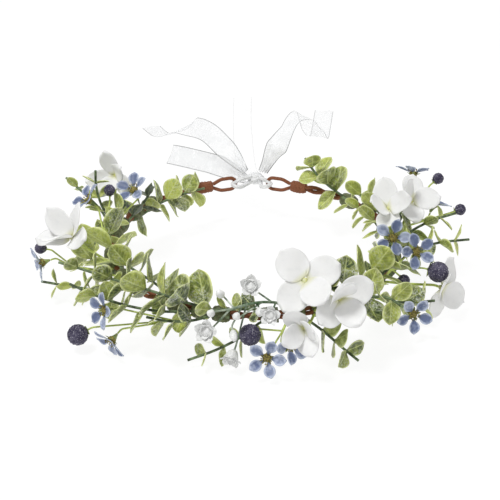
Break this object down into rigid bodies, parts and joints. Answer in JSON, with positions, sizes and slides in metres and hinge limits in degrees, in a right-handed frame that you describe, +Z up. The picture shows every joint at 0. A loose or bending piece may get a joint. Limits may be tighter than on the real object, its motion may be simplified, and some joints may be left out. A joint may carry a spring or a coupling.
{
  "type": "flower crown",
  "caption": "Bendable open-ring flower crown with leaf sprigs, white blossoms, blue wax flowers, berries and sheer ribbon ties at the back.",
  "frame": {"origin": "centre of the head opening, in the plane of the band", "axes": "+Z up out of the crown, -Y to the front, +Y to the ribbon tie at the back, +X to the wearer's left"},
  "size_m": [0.2771, 0.4396, 0.076],
  "materials": {
    "berry": "rough purple-navy grains",
    "blossom_eye": "small yellow-green bead",
    "blue_petal": "periwinkle cloth petals, paler at the rim",
    "calyx": "light green plastic",
    "dark_leaf": "dark green, lightly frosted",
    "floral_tape": "crinkled olive-brown tape",
    "frosted_leaf": "green, frosted with white flock, yellow-green edges",
    "leaf_stem": "moulded green plastic",
    "light_stem": "moulded yellow-green plastic",
    "organza": "sheer white weave with firm edges",
    "paper_vine": "twisted brown paper over thin wire, matt",
    "spray_stem": "dark green plastic going white at the tips",
    "stamens": "olive and yellow-brown stamen tips",
    "white_bell": "translucent white plastic",
    "white_petal": "satin-like white cloth petals"
  },
  "bodies": {
    "root": {"band_end_sleeves": "floral_tape", "band_wire_lower": "paper_vine", "band_wire_upper": "paper_vine", "berries": "berry", "blossom_centres": "blossom_eye", "blossom_stems": "light_stem", "eyelet_left": "paper_vine", "eyelet_right": "paper_vine", "leaves_back_high": "frosted_leaf", "leaves_back_left": "frosted_leaf", "leaves_back_right": "frosted_leaf", "leaves_bottom_right": "frosted_leaf", "leaves_front_left": "frosted_leaf", "leaves_front_low": "frosted_leaf", "leaves_front_middle": "frosted_leaf", "leaves_front_right": "frosted_leaf", "leaves_front_right_high": "frosted_leaf", "leaves_left_far": "frosted_leaf", "leaves_left_low": "frosted_leaf", "leaves_left_middle": "frosted_leaf", "leaves_left_rear": "frosted_leaf", "leaves_pointed_left": "dark_leaf", "leaves_right_front": "frosted_leaf", "leaves_right_high": "frosted_leaf", "leaves_right_low": "frosted_leaf", "leaves_right_top": "frosted_leaf", "leaves_under_left": "frosted_leaf", "leaves_under_right": "frosted_leaf", "petals_front_lower": "white_petal", "petals_front_outer": "white_petal", "petals_front_upper": "white_petal", "petals_left": "white_petal", "petals_rear_left": "white_petal", "petals_right_inner": "white_petal", "petals_right_low": "white_petal", "petals_right_outer": "white_petal", "pick_stems_front": "light_stem", "pick_stems_left": "light_stem", "pick_stems_right": "light_stem", "ribbon_knot": "organza", "ribbon_left": "organza", "ribbon_right": "organza", "spray_bells": "white_bell", "spray_stems": "spray_stem", "stem_ties": "floral_tape", "stems_back": "leaf_stem", "stems_front": "leaf_stem", "stems_left": "leaf_stem", "stems_right": "leaf_stem", "wax_flower_calyxes": "calyx", "wax_flower_petals_front": "blue_petal", "wax_flower_petals_left": "blue_petal", "wax_flower_petals_right": "blue_petal", "wax_flower_stamens": "stamens"}
  },
  "joints": []
}
